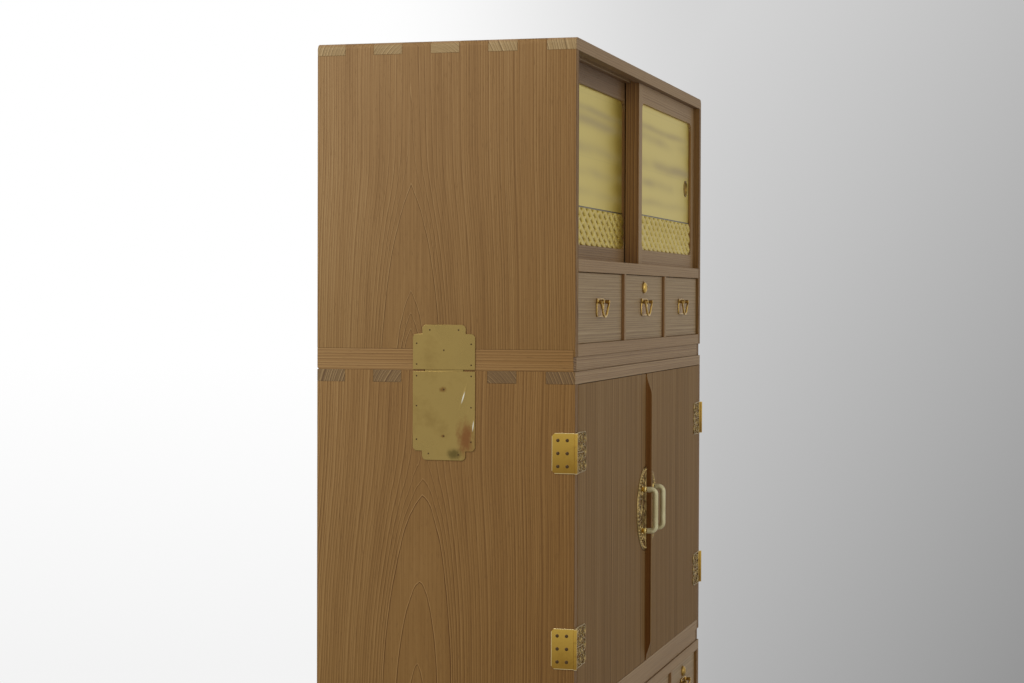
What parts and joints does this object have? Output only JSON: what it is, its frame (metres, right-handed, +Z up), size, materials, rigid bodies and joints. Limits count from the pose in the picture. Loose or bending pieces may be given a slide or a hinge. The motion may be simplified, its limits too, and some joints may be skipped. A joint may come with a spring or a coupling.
{
  "type": "stacking clothes chest",
  "caption": "Three-part stacking clothes chest with sliding panel doors, hinged doors over inner trays, drawers, bail pulls and side alignment plates.",
  "frame": {"origin": "on the floor, under the middle of the whole chest with its handles", "axes": "+Z up, -Y towards the front with the doors and drawers, +X to the right of a person facing the front"},
  "size_m": [1.1198, 0.471, 1.7005],
  "materials": {
    "side_wood": "aged bare paulownia, warm brown, cathedral grain",
    "front_wood": "aged bare paulownia, greyer brown, straight grain",
    "inner_wood": "bare paulownia and cedar inside, less weathered",
    "gold_leaf": "board with satin gold leaf",
    "gilt_brass": "gilt brass, lightly tarnished",
    "cream_gold": "pale satin gold"
  },
  "bodies": {
    "lower_chest": {"lower_sides": "side_wood", "lower_top_board": "front_wood", "lower_bottom_board": "inner_wood", "lower_back_panel": "inner_wood", "lower_shelves": "front_wood", "lower_plinth": "side_wood", "lower_joint_plates": "gilt_brass"},
    "middle_chest": {"middle_sides": "side_wood", "middle_top_board": "front_wood", "middle_bottom_board": "front_wood", "middle_back_panel": "inner_wood", "middle_plinth": "side_wood", "tray_runners": "inner_wood", "tray_1": "inner_wood", "tray_2": "inner_wood", "tray_3": "inner_wood", "tray_4": "inner_wood", "middle_joint_plates": "gilt_brass", "hinge_side_leaves": "gilt_brass"},
    "upper_chest": {"upper_sides": "side_wood", "upper_top_board": "front_wood", "upper_bottom_board": "front_wood", "upper_back_panel": "inner_wood", "upper_plinth": "side_wood", "upper_shelf": "front_wood", "upper_dividers": "front_wood", "upper_joint_plates": "gilt_brass"},
    "door_left": {"door_left_board": "front_wood", "door_left_fittings": "gilt_brass", "door_left_handle": "cream_gold"},
    "door_right": {"door_right_board": "front_wood", "door_right_fittings": "gilt_brass", "door_right_handle": "cream_gold"},
    "slide_left": {"slide_left_frame": "front_wood", "slide_left_panel": "gold_leaf", "slide_left_cup": "gilt_brass"},
    "slide_right": {"slide_right_frame": "front_wood", "slide_right_panel": "gold_leaf", "slide_right_cup": "gilt_brass"},
    "upper_drawer_1": {"upper_drawer_1_box": "front_wood", "upper_drawer_1_fittings": "gilt_brass"},
    "upper_drawer_1_bail": {"upper_drawer_1_bail": "gilt_brass"},
    "upper_drawer_2": {"upper_drawer_2_box": "front_wood", "upper_drawer_2_fittings": "gilt_brass"},
    "upper_drawer_2_bail": {"upper_drawer_2_bail": "gilt_brass"},
    "upper_drawer_3": {"upper_drawer_3_box": "front_wood", "upper_drawer_3_fittings": "gilt_brass"},
    "upper_drawer_3_bail": {"upper_drawer_3_bail": "gilt_brass"},
    "wide_drawer": {"wide_drawer_box": "front_wood", "wide_drawer_fittings": "gilt_brass"},
    "wide_drawer_bail_left": {"wide_drawer_bail_left": "gilt_brass"},
    "wide_drawer_bail_right": {"wide_drawer_bail_right": "gilt_brass"},
    "lock_drawer": {"lock_drawer_box": "front_wood", "lock_drawer_fittings": "gilt_brass"},
    "lock_drawer_bail": {"lock_drawer_bail": "gilt_brass"},
    "long_drawer_1": {"long_drawer_1_box": "front_wood", "long_drawer_1_fittings": "gilt_brass"},
    "long_drawer_1_bail_left": {"long_drawer_1_bail_left": "gilt_brass"},
    "long_drawer_1_bail_right": {"long_drawer_1_bail_right": "gilt_brass"},
    "long_drawer_2": {"long_drawer_2_box": "front_wood", "long_drawer_2_fittings": "gilt_brass"},
    "long_drawer_2_bail_left": {"long_drawer_2_bail_left": "gilt_brass"},
    "long_drawer_2_bail_right": {"long_drawer_2_bail_right": "gilt_brass"}
  },
  "joints": [
    {"name": "middle_chest_lift", "type": "slide", "parent": "lower_chest", "child": "middle_chest", "axis": [0, 0, 1], "range_m": [0, 0.06]},
    {"name": "upper_chest_lift", "type": "slide", "parent": "middle_chest", "child": "upper_chest", "axis": [0, 0, 1], "range_m": [0, 0.06]},
    {"name": "door_left_hinge", "type": "hinge", "parent": "middle_chest", "child": "door_left", "pos_m": [-0.5572, -0.2067, 0.876], "axis": [0, 0, -1], "range_deg": [0, 265]},
    {"name": "door_right_hinge", "type": "hinge", "parent": "middle_chest", "child": "door_right", "pos_m": [0.5572, -0.2067, 0.876], "axis": [0, 0, 1], "range_deg": [0, 265]},
    {"name": "slide_left_travel", "type": "slide", "parent": "upper_chest", "child": "slide_left", "axis": [1, 0, 0], "range_m": [0, 0.519]},
    {"name": "slide_right_travel", "type": "slide", "parent": "upper_chest", "child": "slide_right", "axis": [-1, 0, 0], "range_m": [0, 0.519]},
    {"name": "upper_drawer_1_slide", "type": "slide", "parent": "upper_chest", "child": "upper_drawer_1", "axis": [0, -1, 0], "range_m": [0, 0.33]},
    {"name": "upper_drawer_1_bail_swing", "type": "hinge", "parent": "upper_drawer_1", "child": "upper_drawer_1_bail", "pos_m": [-0.36167, -0.2091, 1.27635], "axis": [-1, 0, 0], "range_deg": [-10, 90]},
    {"name": "upper_drawer_2_slide", "type": "slide", "parent": "upper_chest", "child": "upper_drawer_2", "axis": [0, -1, 0], "range_m": [0, 0.33]},
    {"name": "upper_drawer_2_bail_swing", "type": "hinge", "parent": "upper_drawer_2", "child": "upper_drawer_2_bail", "pos_m": [0, -0.2091, 1.27635], "axis": [-1, 0, 0], "range_deg": [-10, 90]},
    {"name": "upper_drawer_3_slide", "type": "slide", "parent": "upper_chest", "child": "upper_drawer_3", "axis": [0, -1, 0], "range_m": [0, 0.33]},
    {"name": "upper_drawer_3_bail_swing", "type": "hinge", "parent": "upper_drawer_3", "child": "upper_drawer_3_bail", "pos_m": [0.36167, -0.2091, 1.27635], "axis": [-1, 0, 0], "range_deg": [-10, 90]},
    {"name": "wide_drawer_slide", "type": "slide", "parent": "lower_chest", "child": "wide_drawer", "axis": [0, -1, 0], "range_m": [0, 0.33]},
    {"name": "wide_drawer_bail_left_swing", "type": "hinge", "parent": "wide_drawer", "child": "wide_drawer_bail_left", "pos_m": [-0.33675, -0.2091, 0.5016], "axis": [-1, 0, 0], "range_deg": [-10, 90]},
    {"name": "wide_drawer_bail_right_swing", "type": "hinge", "parent": "wide_drawer", "child": "wide_drawer_bail_right", "pos_m": [0.05975, -0.2091, 0.5016], "axis": [-1, 0, 0], "range_deg": [-10, 90]},
    {"name": "lock_drawer_slide", "type": "slide", "parent": "lower_chest", "child": "lock_drawer", "axis": [0, -1, 0], "range_m": [0, 0.33]},
    {"name": "lock_drawer_bail_swing", "type": "hinge", "parent": "lock_drawer", "child": "lock_drawer_bail", "pos_m": [0.404, -0.2091, 0.5016], "axis": [-1, 0, 0], "range_deg": [-10, 90]},
    {"name": "long_drawer_1_slide", "type": "slide", "parent": "lower_chest", "child": "long_drawer_1", "axis": [0, -1, 0], "range_m": [0, 0.33]},
    {"name": "long_drawer_1_bail_left_swing", "type": "hinge", "parent": "long_drawer_1", "child": "long_drawer_1_bail_left", "pos_m": [-0.321, -0.2091, 0.3406], "axis": [-1, 0, 0], "range_deg": [-10, 90]},
    {"name": "long_drawer_1_bail_right_swing", "type": "hinge", "parent": "long_drawer_1", "child": "long_drawer_1_bail_right", "pos_m": [0.321, -0.2091, 0.3406], "axis": [-1, 0, 0], "range_deg": [-10, 90]},
    {"name": "long_drawer_2_slide", "type": "slide", "parent": "lower_chest", "child": "long_drawer_2", "axis": [0, -1, 0], "range_m": [0, 0.33]},
    {"name": "long_drawer_2_bail_left_swing", "type": "hinge", "parent": "long_drawer_2", "child": "long_drawer_2_bail_left", "pos_m": [-0.321, -0.2091, 0.1426], "axis": [-1, 0, 0], "range_deg": [-10, 90]},
    {"name": "long_drawer_2_bail_right_swing", "type": "hinge", "parent": "long_drawer_2", "child": "long_drawer_2_bail_right", "pos_m": [0.321, -0.2091, 0.1426], "axis": [-1, 0, 0], "range_deg": [-10, 90]}
  ]
}
